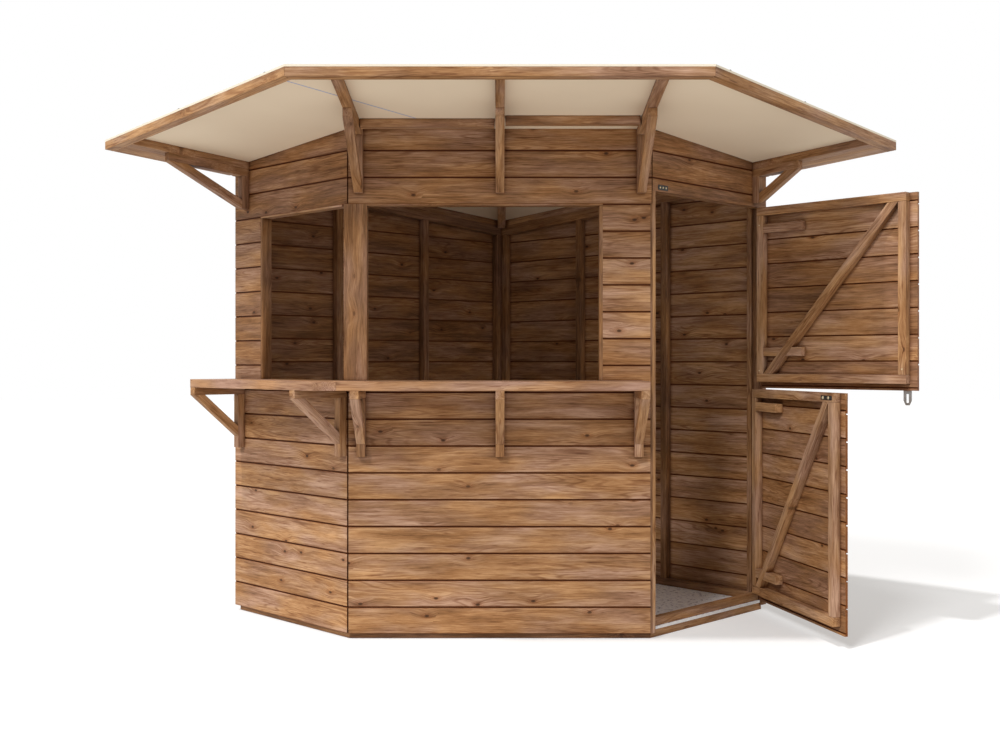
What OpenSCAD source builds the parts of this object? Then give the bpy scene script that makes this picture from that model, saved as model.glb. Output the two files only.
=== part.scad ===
// Five sided garden bar shed with a wrap-round counter, a stable door and a wide pent roof.
// Millimetres. Ground at z 0 under the middle of the square plan, X right, Y back, Z up.

/* [Plan] */
// centre of the plan to a square wall's outer face
half_square = 881.5; // [700:0.5:1100]
// centre of the plan to the front wall's outer face
front_reach = 604.6; // [500:0.1:800]
// how far the back right wall stands outside the square
right_lap = 12; // [0:1:25]

/* [Walls] */
// cladding board thickness
clad = 14; // [10:1:20]
// height of the cladding's bottom edge
clad_foot = 23.5; // [10:0.5:60]
// height one board covers
board_cover = 113; // [90:1:140]
// side of a square frame timber
timber = 36; // [30:1:50]
// boards up to the head of the bar openings
opening_courses = 16; // [12:1:17]
// height of a wall's top rail
top_rail_tall = 48; // [30:1:60]
// gap between pieces that share a node
slip = 0.4; // [0.2:0.1:1]
// studs under the front opening
lower_studs = 2; // [1:1:4]
// middles of the back left wall's studs, from its middle to the left
back_left_studs = [-273, 303];
// middles of the back right wall's studs, from its middle to the back
back_right_studs = [-316, 252];
// width of the back right wall's stud beside the door
door_side_stud = 24; // [18:1:36]

/* [Base] */
// inset of the base rim from the cladding faces
rim_inset = 17; // [14:1:40]
// height of the base rim and bearers
rim_tall = 33; // [25:1:60]
// floor sheet thickness
floor_thick = 12; // [9:1:22]
// distance between bearers
bearer_pitch = 380; // [250:10:600]

/* [Bar openings] */
// width of the corner board's face, from the left front corner
corner_board_wide = 82.5; // [60:0.5:200]
// width of the closed pier beside the front opening
front_pier = 209.5; // [120:0.5:400]
// width of the closed pier beside the left opening
left_pier = 210.5; // [120:0.5:400]
// thickness of the jamb linings
lining = 14.5; // [9:0.5:20]
// thickness of the head linings
head_lining = 8; // [4:1:15]
// width the corner board stands past the front corner
corner_board_lap = 16; // [0:1:20]

/* [Counter] */
// underside of the counter
counter_under = 1050.5; // [900:0.5:1200]
// counter board thickness
counter_thick = 37; // [20:1:50]
// counter depth in front of the walls
counter_deep = 265; // [150:1:400]
// how far the front counter stops short of the right front corner
counter_right_gap = 42; // [0:1:200]
// how far the front counter board passes the left front corner
counter_joint_past = 12; // [0:1:40]
// how far the left counter stops short of the left corner
counter_far_gap = 43; // [0:1:200]
// length of a counter bracket's post
counter_post_long = 282.5; // [150:0.5:400]
// height of a counter bracket's arm
counter_arm_tall = 34.5; // [25:0.5:50]
// how far above the post's foot the counter brace lands
counter_brace_rise = 54; // [0:1:100]
// near edge of the left counter's first bracket
counter_bracket_near = 6; // [0:1:100]
// how far the left counter passes its last bracket
counter_bracket_past = 2; // [0:1:100]

/* [Roof] */
// height of the sheet's underside over the centre
roof_mid = 2086.5; // [1900:0.5:2400]
// fall of the roof towards the back, per unit
roof_fall = 0.1; // [0:0.01:0.25]
// roof sheet thickness
sheet_thick = 8; // [6:1:20]
// centre to the roof's front edge
roof_front = 1363.1; // [900:0.1:1600]
// centre to the roof's side edges
roof_side = 1509.5; // [1000:0.5:1700]
// centre to the roof's rear edges
roof_rear = 931.5; // [890:0.5:1100]
// height of the roof battens
batten_tall = 34; // [20:1:50]
// depth of the edge battens
batten_deep = 42; // [20:1:80]
// depth of the extra battens under the wings
wing_batten_deep = 65; // [20:1:100]
// height of the cross rails
rail_tall = 34; // [20:1:60]
// depth of the cross rails
rail_deep = 34; // [20:1:60]
// left cross rail's front face, ahead of the wall
rail_left_ahead = 145; // [40:1:300]
// right cross rail's front face, ahead of the wall
rail_right_ahead = 185; // [40:1:300]
// width of the centre rafter
rafter_wide = 44; // [30:1:60]
// depth of the centre rafter
rafter_tall = 45; // [30:1:90]
// middle of the outer roof brackets, in from the front corners
roof_bracket_in = 49; // [20:1:200]
// foot of the front roof brackets' posts
front_post_foot = 1874; // [1700:1:2000]
// height of the front roof brackets' arms
front_arm_tall = 35; // [25:1:60]
// reach of the front roof braces
front_brace_reach = 396; // [200:1:600]
// height of the front braces' nose
front_brace_nose = 35; // [5:1:60]
// left roof bracket's near edge, short of the left corner
left_bracket_gap = 115; // [60:1:300]
// right roof bracket's near edge, short of the right corner
right_bracket_gap = 103; // [60:1:300]
// foot of the left roof bracket's post
left_post_foot = 1875; // [1850:1:2000]
// foot of the right roof bracket's post
right_post_foot = 1903; // [1895:1:2000]
// reach of the left roof bracket's arm
left_arm_reach = 412; // [200:1:560]
// reach of the right roof bracket's arm
right_arm_reach = 241; // [150:1:560]

/* [Stable door] */
// near edge of the doorway, from the front corner
door_near = 21; // [10:1:60]
// hinge pin, short of the right corner
pin_short = 30; // [25:1:80]
// hinge pin, outside the wall's face
pin_out = 5; // [3:0.5:12]
// underside of the doorway's header
door_head = 1888; // [1700:1:1950]
// room round the moving leaves
swing_room = 5.3; // [5:0.1:10]
// hinge edge of the leaf boards, from the pin
leaf_start = 5; // [4:1:20]
// free edge of the leaf boards, from the front corner
leaf_near = 40; // [35:1:100]
// hinge stile, from the pin
stile_start = 7; // [5:1:30]
// how far the boards pass the free stile
board_lap = 34; // [10:1:60]
// height of the leaf rails
leaf_rail_tall = 38; // [30:1:60]
// bottom of the upper leaf's boards
upper_foot = 1044; // [1000:1:1100]
// how far the upper leaf's boards pass its frame
upper_lap = 28.5; // [0:0.5:60]
// bottom of the lower leaf's boards
lower_foot = 52; // [51:1:90]
// upper leaf's opening at rest
upper_open = 88.5; // [0:0.5:170]
// lower leaf's opening at rest
lower_open = 58.7; // [0:0.1:170]
// reach of the hinge blocks inside the leaves, from the pin
block_end = 246; // [150:1:400]
// height of the hinge blocks
block_tall = 40; // [30:1:60]
// upper leaf's hinges, in from the ends of its frame
upper_hinge_in = [140.5, 98];
// lower leaf's hinges, in from the ends of its frame
lower_hinge_in = [99.7, 80.7];
// reach of a hinge strap
strap_long = 236; // [100:1:400]
// height of a hinge strap at the pin
strap_root = 38; // [20:1:60]
// height of a hinge strap at its tip
strap_tip = 20; // [10:1:40]
// thickness of a hinge strap
strap_thick = 2.5; // [2:0.5:5]
// radius of a hinge knuckle
knuckle_radius = 5; // [3:0.5:8]
// length of each fixed knuckle
plate_knuckle = 14; // [8:1:30]
// width of the fixed hinge plates
plate_wide = 18; // [10:1:21]

/* [Door furniture] */
// middle of the hasp, in from the leaf's free edge
hasp_in = 55; // [25:1:120]
// width of the hasp
hasp_wide = 37; // [20:1:50]
// how far the hasp hangs below the upper leaf
hasp_drop = 63; // [30:1:80]
// length of the hasp's fixed plate
hasp_plate_long = 62; // [30:1:120]
// height over which the hasp tapers
hasp_taper = 20; // [5:1:40]
// width of the hasp's tip
hasp_tip = 18; // [14:1:30]
// metal left below the hasp's slot
hasp_end = 11; // [5:1:20]
// thickness of the hasp's strap
hasp_thick = 3; // [2:0.5:5]
// width of the hasp's slot
slot_wide = 11; // [6:1:20]
// length of the hasp's slot
slot_long = 37; // [15:1:45]
// keep plate's near edge, from the front corner
keep_near = 37; // [21:1:100]
// keep plate's length
keep_long = 67; // [30:1:100]
// keep plate's height
keep_tall = 21; // [15:1:40]
// keep plate's middle height
keep_mid = 1905; // [1895:1:2000]
// keep plate's thickness
keep_thick = 2; // [1:0.5:4]

/* [Hidden] */
root2 = sqrt(2);
near = half_square - root2 * front_reach;
side_long = half_square - near;
front_half = root2 * half_square - front_reach;
front_open_left = -front_half + corner_board_wide;
front_open_right = front_half - front_pier - lining;
left_open_far = side_long - left_pier - lining;
counter_right = front_half - counter_right_gap;
counter_left_joint = -front_half - counter_joint_past;
counter_far = side_long - counter_far_gap;
counter_bracket_x = counter_right - timber / 2;
counter_bracket_last = counter_far - counter_bracket_past - timber;
roof_bracket_x = front_half - roof_bracket_in;
roof_bracket_left = side_long - left_bracket_gap;
roof_bracket_right = side_long - right_bracket_gap;
pin_along = side_long - pin_short;
leaf_end = pin_along - leaf_near;
stile_end = leaf_end - board_lap;
hasp_along = leaf_end - hasp_in;
tall = 2 * roof_mid;
hair = slip / 10;
inner = clad + timber;
opening_top = clad_foot + opening_courses * board_cover;
floor_top = rim_tall + floor_thick;
counter_top = counter_under + counter_thick;
rail_top = floor_top + timber;
lower_frame_foot = rail_top + swing_room;
leaf_top = door_head - swing_room - 0.7;
upper_frame_foot = upper_foot + upper_lap;
lower_top = upper_foot - swing_room;
upper_hinges = [upper_frame_foot + upper_hinge_in[0], leaf_top - upper_hinge_in[1]];
lower_hinges = [lower_frame_foot + lower_hinge_in[0], lower_top - lower_hinge_in[1]];
jamb_end = leaf_near - swing_room;
far_strip = pin_along + knuckle_radius + 4;
far_stud = pin_along + knuckle_radius;
roof_rear_right = roof_rear + right_lap;
wide = 4000;
wood = [0.72, 0.55, 0.38];
pale = [0.93, 0.88, 0.76];
steel = [0.7, 0.7, 0.72];
dark = [0.15, 0.15, 0.16];

// height of the roof sheet's underside at a depth y
function roof_z(y) = roof_mid - roof_fall * y;

// corners of a plan inset by d from the walls' outer faces
function wall_plan(d) = [
  [-(root2 * (half_square - d) - front_reach + d), -(front_reach - d)],
  [root2 * (half_square - d) - front_reach + d, -(front_reach - d)],
  [(2 * half_square + right_lap - 2 * d) / root2, right_lap / root2],
  [right_lap / root2, (2 * half_square + right_lap - 2 * d) / root2],
  [-root2 * (half_square - d), 0]];

// a bar in a wall's own frame: along x, depth w in from the outer face, height z
module bar(x0, x1, w0, w1, z0, z1) {
  translate([x0, w0, z0])
    cube([x1 - x0, w1 - w0, z1 - z0]);
}

// bars on the left and right walls, measured along from the front corner
module left_bar(e0, e1, w0, w1, z0, z1) {
  bar(-near - e1, -near - e0, w0, w1, z0, z1);
}

module right_bar(e0, e1, w0, w1, z0, z1) {
  bar(near + e0, near + e1, w0, w1, z0, z1);
}

// cladding whose ends are mitred: a0 to b0 at the outer face, a1 to b1 at its back
module slab(a0, b0, a1, b1, z0, z1) {
  translate([0, 0, z0])
    linear_extrude(z1 - z0)
      polygon([[a0, 0], [b0, 0], [b1, clad], [a1, clad]]);
}

module on_front() {
  translate([0, -front_reach, 0])
    children();
}

module on_left() {
  rotate([0, 0, -45])
    translate([0, -half_square, 0])
      children();
}

module on_right() {
  rotate([0, 0, 45])
    translate([0, -half_square, 0])
      children();
}

module on_back_left() {
  rotate([0, 0, -135])
    translate([0, -half_square, 0])
      children();
}

module on_back_right() {
  rotate([0, 0, 135])
    translate([0, -half_square - right_lap, 0])
      children();
}

// space between two levels below the roof sheet
module roof_band(top_drop, bottom_drop) {
  translate([-wide / 2, 0, 0])
    rotate([90, 0, 90])
      linear_extrude(wide)
        polygon([
          [-wide / 2, roof_z(-wide / 2) - bottom_drop],
          [wide / 2, roof_z(wide / 2) - bottom_drop],
          [wide / 2, roof_z(wide / 2) - top_drop],
          [-wide / 2, roof_z(-wide / 2) - top_drop]]);
}

// keep only what lies between two levels below the roof sheet
module under_roof(top_drop, bottom_drop = roof_mid) {
  intersection() {
    children();
    roof_band(top_drop, bottom_drop);
  }
}

// a plan shape raised through the roof zone
module roof_prism(points) {
  translate([0, 0, counter_top])
    linear_extrude(tall)
      polygon(points);
}

module base_rim() {
  outer = wall_plan(rim_inset);
  rim_in = wall_plan(rim_inset + timber);
  color(wood)
    for (k = [0:4]) {
      a = outer[k];
      b = outer[(k + 1) % 5];
      c = rim_in[(k + 1) % 5];
      d = rim_in[k];
      run = (b - a) / norm(b - a) * slip / 2;
      linear_extrude(rim_tall)
        polygon([a + run, b - run, c - run, d + run]);
    }
}

module base_bearers() {
  color(wood)
    for (k = [-1:2])
      intersection() {
        translate([-wide / 2, k * bearer_pitch - timber / 2, 0])
          cube([wide, timber, rim_tall]);
        linear_extrude(rim_tall)
          polygon(wall_plan(rim_inset + timber + slip));
      }
}

module floor_sheet() {
  color(pale)
    translate([0, 0, rim_tall])
      linear_extrude(floor_thick)
        polygon(wall_plan(clad + 0.3));
}

module front_slab(z0, z1) {
  cut = clad * (root2 - 1);
  slab(-front_half, front_half, -front_half + cut, front_half - cut, z0, z1);
}

module left_slab(z0, z1) {
  cut = clad * (root2 - 1);
  slab(-half_square, -near, -half_square + clad, -near - cut, z0, z1);
}

module front_lower_cladding() {
  color(wood)
    on_front()
      front_slab(clad_foot, counter_under);
}

module front_header_cladding() {
  color(wood)
    under_roof(0)
      on_front()
        front_slab(opening_top, tall);
}

// the closed strips of wall beside the bar openings
module pier_cladding() {
  cut = clad * (root2 - 1);
  front_edge = front_open_right + lining;
  left_edge = -near - left_open_far - lining;
  color(wood) {
    on_front()
      slab(front_edge, front_half, front_edge, front_half - cut, counter_under, opening_top);
    on_left()
      slab(-half_square, left_edge, -half_square + clad, left_edge, counter_under, opening_top);
  }
}

module corner_board() {
  color(wood)
    on_front()
      bar(-front_half - corner_board_lap, front_open_left, 0, clad, counter_top, opening_top);
}

module front_frame() {
  rail_end = front_half - 34;
  stud_l = front_open_left;
  stud_r = front_open_right + lining;
  color(wood) {
    on_front() {
      bar(-rail_end, rail_end, clad, inner, floor_top, rail_top);
      bar(stud_l + slip, stud_r - slip, clad, inner, counter_under - timber, counter_under);
      bar(stud_r + timber + slip, rail_end - timber - slip, clad, inner,
        counter_under - timber, counter_under);
      bar(stud_l + slip, stud_r - slip, clad, inner, opening_top, opening_top + timber);
      for (k = [1:lower_studs])
        translate([stud_l + (stud_r - stud_l) * k / (lower_studs + 1) - timber / 2, 0, 0])
          bar(0, timber, clad, inner, rail_top + slip, counter_under - timber - slip);
    }
    under_roof(0, top_rail_tall)
      on_front()
        bar(-rail_end, rail_end, clad, inner, door_head, tall);
    under_roof(top_rail_tall + slip)
      on_front() {
        bar(stud_l - timber, stud_l, clad, inner, rail_top + slip, tall);
        bar(stud_r, stud_r + timber, clad, inner, rail_top + slip, tall);
        bar(rail_end - timber, rail_end, clad, inner, rail_top + slip, tall);
      }
  }
}

module linings() {
  color(pale) {
    on_front() {
      bar(front_open_right, front_open_right + lining, 0, inner,
        counter_top, opening_top - head_lining - slip);
      bar(front_open_left + slip, front_open_right + lining, 0, inner,
        opening_top - head_lining, opening_top);
    }
    on_left() {
      left_bar(left_open_far, left_open_far + lining, 0, inner,
        counter_top, opening_top - head_lining - slip);
      left_bar(timber + slip, left_open_far + lining, 0, inner,
        opening_top - head_lining, opening_top);
    }
  }
}

module left_lower_cladding() {
  color(wood)
    on_left()
      left_slab(clad_foot, counter_under);
}

module left_header_cladding() {
  color(wood)
    under_roof(0)
      on_left()
        left_slab(opening_top, tall);
}

module left_frame() {
  start = 6.3;
  stud_f = left_open_far + lining;
  end = half_square - near - inner - slip;
  color(wood) {
    on_left() {
      left_bar(24, end, clad, inner, floor_top, rail_top);
      left_bar(timber + slip, stud_f - slip, clad, inner, counter_under - timber, counter_under);
      left_bar(stud_f + timber + slip, end - timber - slip, clad, inner,
        counter_under - timber, counter_under);
      left_bar(timber + slip, stud_f - slip, clad, inner, opening_top, opening_top + timber);
      left_bar(stud_f / 2, stud_f / 2 + timber, clad, inner,
        rail_top + slip, counter_under - timber - slip);
    }
    under_roof(0, top_rail_tall)
      on_left()
        left_bar(24, end, clad, inner, door_head, tall);
    under_roof(top_rail_tall + slip)
      on_left() {
        left_bar(start, timber, clad, inner, rail_top + slip, tall);
        left_bar(stud_f, stud_f + timber, clad, inner, rail_top + slip, tall);
        left_bar(end - timber, end, clad, inner, rail_top + slip, tall);
      }
  }
}

module right_header_cladding() {
  cut = clad * (root2 - 1);
  far = half_square + right_lap;
  color(wood)
    under_roof(0)
      on_right()
        slab(near, far, near + cut, far - clad, door_head, tall);
}

module door_jamb_trim() {
  cut = clad * (root2 - 1);
  far = half_square + right_lap;
  color(wood)
    on_right() {
      slab(near, near + door_near, near + cut, near + door_near, clad_foot, door_head);
      slab(near + far_strip, far, near + far_strip, far - clad, clad_foot, door_head);
    }
}

module right_frame() {
  start = 6.3;
  end = half_square + right_lap - near - clad - slip;
  color(wood) {
    on_right() {
      right_bar(jamb_end + slip, far_stud - slip, clad + swing_room, inner, floor_top, rail_top);
      right_bar(jamb_end + slip, far_stud - slip, clad, inner, door_head, door_head + timber);
    }
    under_roof(0, top_rail_tall)
      on_right()
        right_bar(24, end - timber, clad, inner, door_head, tall);
    under_roof(top_rail_tall + slip)
      on_right()
        right_bar(start, jamb_end, clad, inner, floor_top, tall);
    under_roof(batten_tall)
      on_right()
        right_bar(far_stud, end, clad, inner, floor_top, tall);
  }
}

module back_left_cladding() {
  color(wood)
    under_roof(batten_tall)
      on_back_left()
        slab(-half_square - right_lap, half_square, -half_square - right_lap + clad,
          half_square - clad, clad_foot, tall);
}

module back_right_cladding() {
  color(wood)
    under_roof(batten_tall)
      on_back_right()
        slab(-half_square, half_square, -half_square + clad, half_square - clad,
          clad_foot, tall);
}

// rails and studs of a back wall from x0 to x1, with mid studs where asked
module back_frame(x0, x1, mids, first_wide) {
  bar(x0, x1, clad, inner, floor_top, rail_top);
  bar(x0, x0 + first_wide, clad, inner, rail_top + slip, tall);
  for (x = concat([x1 - timber / 2], mids))
    bar(x - timber / 2, x + timber / 2, clad, inner, rail_top + slip, tall);
}

module back_left_frame() {
  x0 = -(half_square + right_lap - inner - slip);
  x1 = half_square - inner - slip;
  color(wood) {
    under_roof(batten_tall + top_rail_tall + slip)
      on_back_left()
        back_frame(x0, x1, back_left_studs, timber);
    under_roof(batten_tall, batten_tall + top_rail_tall)
      on_back_left()
        bar(x0, x1, clad, inner, opening_top, tall);
  }
}

module back_right_frame() {
  x0 = -(half_square - inner - slip);
  x1 = half_square - inner - slip;
  color(wood) {
    under_roof(batten_tall + top_rail_tall + slip)
      on_back_right()
        back_frame(x0, x1, back_right_studs, door_side_stud);
    under_roof(batten_tall, batten_tall + top_rail_tall)
      on_back_right()
        bar(x0, x1, clad, inner, opening_top, tall);
  }
}

module counter_front() {
  color(wood)
    on_front()
      bar(counter_left_joint, counter_right, -counter_deep, 0, counter_under, counter_top);
}

module counter_left() {
  joint = counter_left_joint - slip;
  along = near + counter_far;
  far_wall = [-(along + half_square + hair) / root2, (along - half_square - hair) / root2];
  out = [-1, -1] / root2 * (counter_deep - hair);
  line_y = -front_reach - counter_deep;
  color(wood)
    translate([0, 0, counter_under])
      linear_extrude(counter_thick)
        polygon([
          far_wall,
          far_wall + out,
          [-root2 * (half_square + counter_deep) - line_y, line_y],
          [joint, line_y],
          [joint, -root2 * (half_square + hair) - joint]]);
}

module sills() {
  color(wood) {
    on_front() {
      bar(front_open_left + slip, front_open_right + lining, 0, inner, counter_under, counter_top);
      bar(-front_half + 10, front_open_left, 0, clad, counter_under, counter_top);
    }
    on_left() {
      left_bar(timber + slip, left_open_far + lining, 0, inner, counter_under, counter_top);
      left_bar(18, timber, 1, clad, counter_under, counter_top);
    }
  }
}

// a bracket's timber between two distances out from the wall, centred on x
module out_bar(x, v0, v1, z0, z1) {
  bar(x - timber / 2, x + timber / 2, -v1, -v0, z0, z1);
}

// a profile of [out, height] points, one timber wide, centred on x
module out_shape(x, points) {
  translate([x - timber / 2, 0, 0])
    rotate([90, 0, 90])
      linear_extrude(timber)
        polygon([for (p = points) [-p[0], p[1]]]);
}

// where each counter bracket stands
module at_counter_brackets() {
  on_front()
    for (x = [-counter_bracket_x, 0, counter_bracket_x])
      translate([x, 0, 0])
        children();
  on_left()
    for (e = [counter_bracket_near, counter_bracket_last])
      translate([-near - e - timber / 2, 0, 0])
        children();
}

module counter_posts() {
  arm_foot = counter_under - counter_arm_tall;
  color(wood)
    at_counter_brackets()
      out_bar(0, 0, timber, counter_under - counter_post_long, arm_foot);
}

module counter_arms() {
  color(wood)
    at_counter_brackets()
      out_bar(0, 0, counter_deep, counter_under - counter_arm_tall, counter_under);
}

module counter_braces() {
  arm_foot = counter_under - counter_arm_tall;
  foot = counter_under - counter_post_long + counter_brace_rise;
  slope = atan2(arm_foot - foot, counter_deep - timber);
  color(wood)
    at_counter_brackets()
      out_shape(0, [
        [timber, foot],
        [counter_deep, arm_foot],
        [counter_deep - timber / sin(slope), arm_foot],
        [timber, foot + timber / cos(slope)]]);
}

// [towards back right, towards back left] to plan coordinates
function turned(u, t) = [(u - t) / root2, (u + t) / root2];

// corners of the roof plan inset by d
function roof_plan(d) = [
  [-root2 * (roof_side - d) + roof_front - d, -roof_front + d],
  [root2 * (roof_side - d) - roof_front + d, -roof_front + d],
  turned(roof_rear_right - d, -roof_side + d),
  turned(roof_rear_right - d, roof_rear - d),
  turned(-roof_side + d, roof_rear - d)];

module roof_half(side) {
  intersection() {
    roof_prism(roof_plan(0));
    roof_band(-sheet_thick, 0);
    translate([side > 0 ? slip / 2 : -wide - slip / 2, -wide / 2, 0])
      cube([wide, wide, wide]);
  }
}

module roof_sheet_left() {
  color(pale)
    roof_half(-1);
}

module roof_sheet_right() {
  color(pale)
    roof_half(1);
}

module roof_edge_battens() {
  outer = roof_plan(0);
  in_l = -root2 * (roof_side - batten_deep) + roof_front - batten_deep;
  in_y = -roof_front + batten_deep;
  side_in = roof_side - batten_deep;
  color(wood)
    under_roof(0, batten_tall) {
      roof_prism([
        outer[0] + [slip, 0],
        outer[1] - [slip, 0],
        [-in_l - slip, in_y],
        [in_l + slip, in_y]]);
      roof_prism([
        outer[0],
        [in_l, in_y],
        turned(-side_in, roof_rear),
        outer[4]]);
      roof_prism([
        outer[1],
        outer[2],
        turned(roof_rear_right, -side_in),
        [-in_l, in_y]]);
    }
}

module roof_rear_battens() {
  wall_l = half_square - inner;
  wall_r = half_square + right_lap - inner;
  reach = roof_side - batten_deep;
  in_wall = half_square - clad;
  color(wood)
    under_roof(0, batten_tall) {
      roof_prism([
        turned(-in_wall, wall_l),
        turned(roof_rear_right, wall_l),
        turned(roof_rear_right, roof_rear),
        turned(-in_wall, roof_rear)]);
      roof_prism([
        turned(-reach, wall_l),
        turned(-half_square, wall_l),
        turned(-half_square, roof_rear),
        turned(-reach, roof_rear)]);
      roof_prism([
        turned(wall_r, -in_wall),
        turned(roof_rear_right, -in_wall),
        turned(roof_rear_right, wall_l - slip),
        turned(wall_r, wall_l - slip)]);
      roof_prism([
        turned(wall_r, -reach),
        turned(roof_rear_right, -reach),
        turned(roof_rear_right, -half_square),
        turned(wall_r, -half_square)]);
      roof_prism([
        turned(-reach, wall_l - wing_batten_deep),
        turned(-half_square, wall_l - wing_batten_deep),
        turned(-half_square, wall_l - slip),
        turned(-reach, wall_l - slip)]);
      roof_prism([
        turned(wall_r - wing_batten_deep, -reach),
        turned(wall_r - slip, -reach),
        turned(wall_r - slip, -half_square),
        turned(wall_r - wing_batten_deep, -half_square)]);
    }
}

module roof_rails() {
  bracket = roof_bracket_x - timber / 2;
  color(wood)
    under_roof(0, rail_tall)
      on_front() {
        bar(-bracket + 2, -timber / 2 - 4, -rail_left_ahead, -rail_left_ahead + rail_deep,
          opening_top, tall);
        bar(timber / 2 + 4, bracket - 6, -rail_right_ahead, -rail_right_ahead + rail_deep,
          opening_top, tall);
      }
}

module centre_rafter() {
  mid = right_lap / root2;
  back = root2 * (half_square - inner) + mid - rafter_wide / 2 - slip;
  color(wood)
    under_roof(0, rafter_tall)
      translate([mid - rafter_wide / 2, -front_reach + inner, 0])
        cube([rafter_wide, back + front_reach - inner, tall]);
}

module at_front_roof_brackets() {
  on_front()
    for (x = [-roof_bracket_x, 0, roof_bracket_x])
      translate([x, 0, 0])
        children();
}

module at_left_roof_bracket() {
  on_left()
    translate([-near - roof_bracket_left - timber / 2, 0, 0])
      children();
}

module at_right_roof_bracket() {
  on_right()
    translate([near + roof_bracket_right + timber / 2, 0, 0])
      children();
}

module roof_bracket_posts() {
  color(wood) {
    under_roof(front_arm_tall)
      at_front_roof_brackets()
        out_bar(0, 0, timber, front_post_foot, tall);
    under_roof(batten_tall + timber) {
      at_left_roof_bracket()
        out_bar(0, 0, timber, left_post_foot, tall);
      at_right_roof_bracket()
        out_bar(0, 0, timber, right_post_foot, tall);
    }
  }
}

module roof_bracket_arms() {
  color(wood) {
    under_roof(0, front_arm_tall)
      at_front_roof_brackets()
        out_bar(0, 0, roof_front - batten_deep - front_reach, opening_top, tall);
    under_roof(batten_tall, batten_tall + timber) {
      at_left_roof_bracket()
        out_bar(0, 0, left_arm_reach, opening_top, tall);
      at_right_roof_bracket()
        out_bar(0, 0, right_arm_reach, opening_top, tall);
    }
  }
}

// a roof brace from its foot on the post to a nose at a reach and height
module roof_brace(foot, reach, nose_z) {
  rise = timber / cos(atan2(nose_z - foot, reach - timber));
  out_shape(0, [
    [timber, foot],
    [reach, nose_z],
    [reach, nose_z + rise],
    [timber, foot + rise]]);
}

// underside of a side bracket's arm at its outer end
function side_arm_z(along, reach) =
  roof_z((near + along + timber / 2 - half_square - reach) / root2) - batten_tall - timber;

module roof_bracket_braces() {
  front_z = roof_z(-front_reach - front_brace_reach) - front_arm_tall - front_brace_nose;
  color(wood) {
    under_roof(front_arm_tall)
      at_front_roof_brackets()
        roof_brace(front_post_foot, front_brace_reach, front_z);
    under_roof(batten_tall + timber) {
      at_left_roof_bracket()
        roof_brace(left_post_foot, left_arm_reach, side_arm_z(roof_bracket_left, left_arm_reach));
      at_right_roof_bracket()
        roof_brace(right_post_foot, right_arm_reach,
          side_arm_z(roof_bracket_right, right_arm_reach));
    }
  }
}

// a leaf's own frame: origin on the pin, s along the leaf, w in from its outer face
module on_leaf(angle) {
  on_right()
    translate([near + pin_along, -pin_out, 0])
      rotate([0, 0, angle])
        translate([0, pin_out, 0])
          children();
}

module leaf_bar(s0, s1, w0, w1, z0, z1) {
  bar(-s1, -s0, w0, w1, z0, z1);
}

// the slanting brace of a leaf between its rails, from the hinge foot to the free head, grown by g
module leaf_brace(z0, z1, g) {
  low = z0 + leaf_rail_tall + slip;
  high = z1 - leaf_rail_tall - slip;
  s0 = stile_start + timber + slip;
  s1 = stile_end - timber - slip;
  wide_cut = timber / sin(atan2(high - low, s1 - s0 - timber)) + g;
  translate([0, inner + g, 0])
    rotate([90, 0, 0])
      linear_extrude(timber + 2 * g)
        polygon([
          [-s0 + g, low],
          [-s0 - wide_cut, low],
          [-s1, high],
          [-s1 + wide_cut, high]]);
}

// stiles, rails and brace of a leaf
module leaf_frame(z0, z1) {
  stile_low = z0 + leaf_rail_tall + slip;
  stile_high = z1 - leaf_rail_tall - slip;
  leaf_bar(stile_start, stile_start + timber, clad, inner, stile_low, stile_high);
  leaf_bar(stile_end - timber, stile_end, clad, inner, stile_low, stile_high);
  leaf_bar(stile_start, stile_end, clad, inner, z0, z0 + leaf_rail_tall);
  leaf_bar(stile_start, stile_end, clad, inner, z1 - leaf_rail_tall, z1);
  leaf_brace(z0, z1, 0);
}

// hinge blocks of a leaf, let in under the brace
module leaf_blocks(z0, z1, heights) {
  for (z = heights)
    difference() {
      leaf_bar(stile_start + timber, block_end, clad, inner,
        z - block_tall / 2, z + block_tall / 2);
      leaf_brace(z0, z1, slip);
    }
}

// strap hinges of a leaf
module leaf_hinges(heights) {
  for (z = heights)
    union() {
      translate([0, 0, 0])
        rotate([90, 0, 0])
          linear_extrude(strap_thick)
            polygon([
              [0, z - strap_root / 2],
              [0, z + strap_root / 2],
              [-strap_long, z + strap_tip / 2],
              [-strap_long, z - strap_tip / 2]]);
      translate([0, -pin_out, z - strap_root / 2])
        cylinder(r = knuckle_radius, h = strap_root, $fn = 48);
    }
}

module upper_door_cladding() {
  color(wood)
    on_leaf(upper_open)
      leaf_bar(leaf_start, leaf_end, 0, clad, upper_foot, leaf_top);
}

module upper_door_frame() {
  color(wood)
    on_leaf(upper_open)
      leaf_frame(upper_frame_foot, leaf_top);
}

module upper_door_blocks() {
  color(wood)
    on_leaf(upper_open)
      leaf_blocks(upper_frame_foot, leaf_top, upper_hinges);
}

module upper_door_hinges() {
  color(dark)
    on_leaf(upper_open)
      leaf_hinges(upper_hinges);
}

module hasp() {
  top = upper_foot + hasp_plate_long;
  tip = upper_foot - hasp_drop;
  color(steel)
    on_leaf(upper_open)
      union() {
        leaf_bar(hasp_along - hasp_wide / 2, hasp_along + hasp_wide / 2, -swing_room, 0,
          upper_foot + 2, top);
        translate([-hasp_along, -swing_room, 0])
          rotate([90, 0, 0])
            linear_extrude(hasp_thick)
              difference() {
                polygon([
                  [-hasp_wide / 2, top],
                  [hasp_wide / 2, top],
                  [hasp_wide / 2, tip + hasp_taper],
                  [hasp_tip / 2, tip],
                  [-hasp_tip / 2, tip],
                  [-hasp_wide / 2, tip + hasp_taper]]);
                translate([-slot_wide / 2, tip + hasp_end])
                  square([slot_wide, slot_long]);
              }
      }
}

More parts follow.
